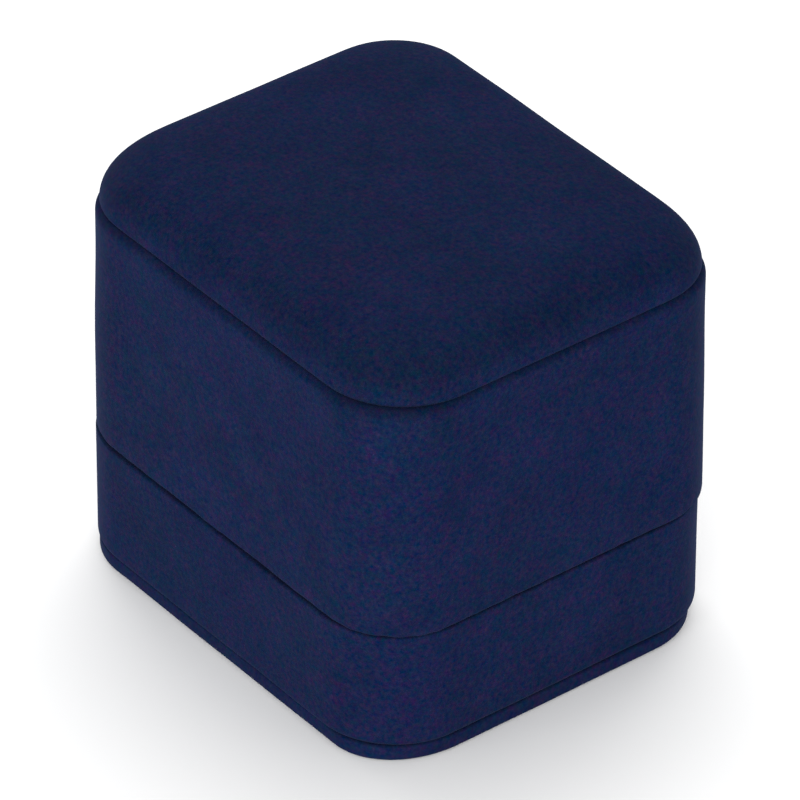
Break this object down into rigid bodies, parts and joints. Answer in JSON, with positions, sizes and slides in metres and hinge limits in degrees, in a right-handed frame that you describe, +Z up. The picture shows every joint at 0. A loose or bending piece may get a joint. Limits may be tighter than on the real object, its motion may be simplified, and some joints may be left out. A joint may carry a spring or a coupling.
{
  "type": "ring box",
  "caption": "Velvet-covered ring box with rounded corners, a padded top panel, a deep sprung hinged lid and a slotted ring pad.",
  "frame": {"origin": "centre of the footprint, on the surface the closed box stands on", "axes": "+X along the front, to the right seen from the front; +Y to the rear, where the hinge is; +Z up"},
  "size_m": [0.0606, 0.0516, 0.055],
  "materials": {
    "velvet_outer": "short-pile velvet, navy",
    "velvet_pad": "short-pile velvet, navy",
    "satin": "satin, ivory",
    "greyboard": "uncoated grey board",
    "foam": "soft open-cell foam",
    "frame_plastic": "moulded, matt",
    "hinge_steel": "plain spring steel"
  },
  "bodies": {
    "base": {"bottom_cover": "velvet_outer", "bottom_board": "greyboard", "base_frame": "frame_plastic", "base_wrap": "velvet_outer", "pad_board": "greyboard", "pad_foam_front": "foam", "pad_foam_rear": "foam", "pad_cover_front": "velvet_pad", "pad_cover_rear": "velvet_pad", "hinge_leaf_base": "hinge_steel", "snap_spring": "hinge_steel", "hinge_pin": "hinge_steel", "rivet_base_left": "hinge_steel", "rivet_base_right": "hinge_steel"},
    "lid": {"lid_frame": "frame_plastic", "lid_wrap": "velvet_outer", "lid_lining": "velvet_pad", "hinge_leaf_lid": "hinge_steel", "rivet_lid_left": "hinge_steel", "rivet_lid_right": "hinge_steel", "lid_pad_board": "greyboard", "lid_pad_foam": "foam", "lid_pad_cover": "satin", "top_board": "greyboard", "top_foam": "foam", "top_cover": "velvet_outer"}
  },
  "joints": [
    {"name": "lid_hinge", "type": "hinge", "parent": "base", "child": "lid", "pos_m": [0, 0.0243, 0.0174], "axis": [-1, 0, 0], "range_deg": [0, 100], "deforming": ["snap_spring"]}
  ]
}
